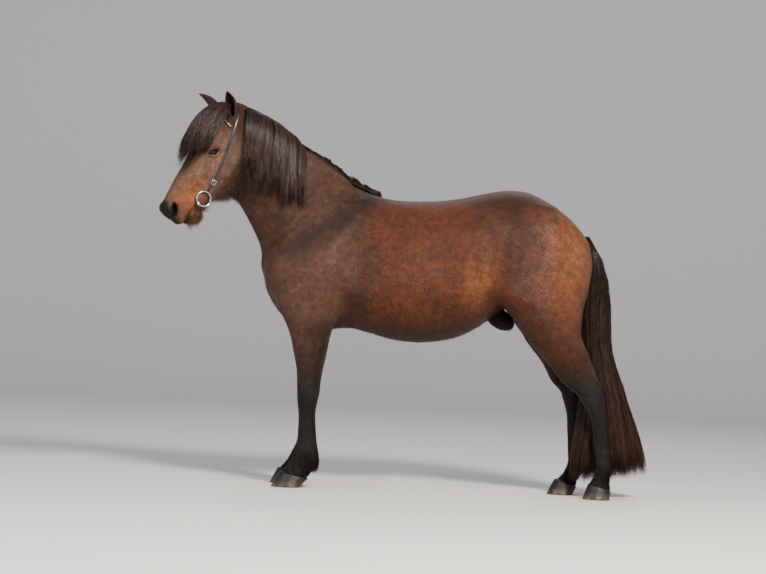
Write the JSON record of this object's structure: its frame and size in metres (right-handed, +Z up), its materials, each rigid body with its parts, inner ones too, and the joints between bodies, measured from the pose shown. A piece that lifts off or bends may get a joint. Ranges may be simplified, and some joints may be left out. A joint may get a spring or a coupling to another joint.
{
  "type": "icelandic horse model",
  "caption": "Life-size still model of a standing Icelandic horse with mane, forelock and long tail, wearing a plain leather headstall with a ring bit.",
  "frame": {"origin": "on the floor, under the middle of the whole model's box", "axes": "+Z up, the horse faces -X, its left side is -Y; hooves stand on Z = 0"},
  "size_m": [2.2667, 0.5592, 1.7885],
  "materials": {
    "coat": "short glossy dark bay coat",
    "dark_coat": "short black-brown coat",
    "hair": "long black-brown hair",
    "horn": "dark worn hoof horn",
    "eye": "wet dark eye",
    "strap": "oiled black leather",
    "metal": "polished steel"
  },
  "bodies": {
    "root": {"torso": "coat", "neck": "dark_coat", "head": "coat", "tail": "hair", "leg_front_left": "dark_coat", "leg_front_right": "dark_coat", "leg_hind_left": "dark_coat", "leg_hind_right": "dark_coat", "hoof_front_left": "horn", "hoof_front_right": "horn", "hoof_hind_left": "horn", "hoof_hind_right": "horn", "ear_left": "dark_coat", "ear_right": "dark_coat", "eye_left": "eye", "eye_right": "eye", "bit_ring_left": "metal", "bit_ring_right": "metal", "bit_mouthpiece": "metal", "bridle_buckle_left": "metal", "bridle_buckle_right": "metal", "bridle_crownpiece": "strap", "bridle_browband": "strap", "bridle_cheekpiece_left": "strap", "bridle_cheekpiece_right": "strap"}
  },
  "joints": []
}
